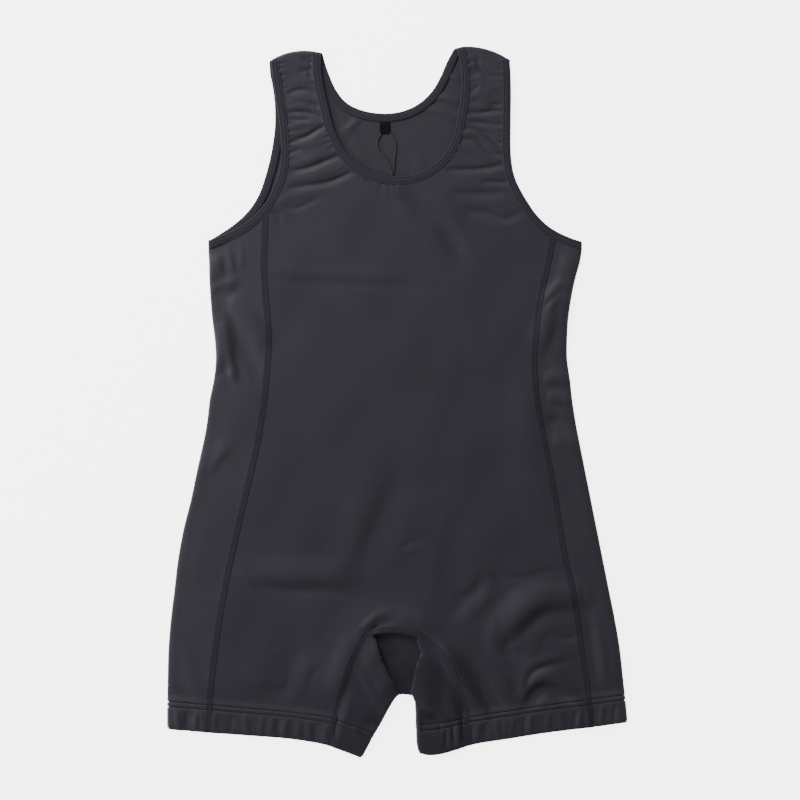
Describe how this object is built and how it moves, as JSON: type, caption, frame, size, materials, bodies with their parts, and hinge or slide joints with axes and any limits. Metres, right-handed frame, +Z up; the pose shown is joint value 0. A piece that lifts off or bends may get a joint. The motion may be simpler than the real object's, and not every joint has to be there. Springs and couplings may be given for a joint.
{
  "type": "weightlifting singlet",
  "caption": "Sleeveless one-piece stretch suit laid flat, front up: scoop neck, broad shoulder straps, thigh-length legs, side panels and a folded crotch gusset.",
  "frame": {"origin": "centre of the garment's outline, on the surface that it lies on", "axes": "+Z up from the surface, +Y from the hems towards the neck, +X to the right as seen from above"},
  "size_m": [0.5072, 0.7824, 0.0087],
  "materials": {
    "knit": "smooth warp knit with elastane, charcoal with a faint violet cast and a soft satin sheen",
    "side_knit": "the same knit, cut for the sides, slightly glossier on the folds",
    "binding": "matt elastic binding folded over the raw edge and stitched",
    "label": "plain black woven tape",
    "loop": "thin twisted black cord"
  },
  "bodies": {
    "root": {"front_panel": "knit", "back_panel": "knit", "side_panel_left": "side_knit", "side_panel_right": "side_knit", "gusset": "knit", "neck_binding": "binding", "armhole_binding_left": "binding", "armhole_binding_right": "binding", "label": "label", "hanging_loop": "loop"}
  },
  "joints": []
}
